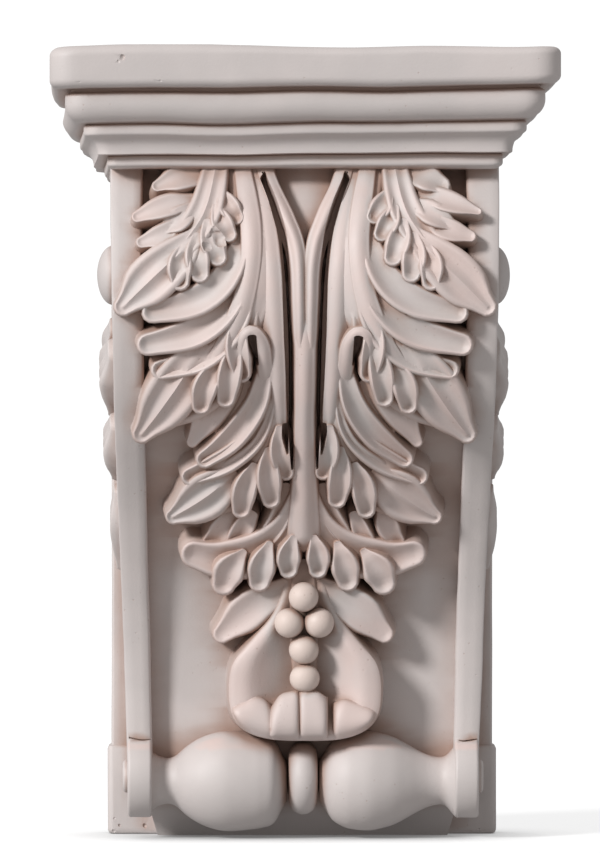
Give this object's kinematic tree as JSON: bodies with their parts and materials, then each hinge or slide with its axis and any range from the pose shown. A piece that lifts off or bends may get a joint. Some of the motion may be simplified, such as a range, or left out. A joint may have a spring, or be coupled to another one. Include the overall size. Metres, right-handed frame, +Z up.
{
  "type": "corbel",
  "caption": "Wall corbel in cast plaster: moulded cap, S-curved front with raised rims, acanthus leaves, berries, a shell and turned rollers at the foot.",
  "frame": {"origin": "centre of the back face, halfway up, on the wall plane", "axes": "+Z up, -Y out from the wall towards the viewer, +X to the viewer's right"},
  "size_m": [0.2542, 0.1903, 0.4],
  "materials": {
    "plaster": "matte, pinkish warm grey, slightly satin on the raised parts"
  },
  "bodies": {
    "root": {"corbel": "plaster"}
  },
  "joints": []
}
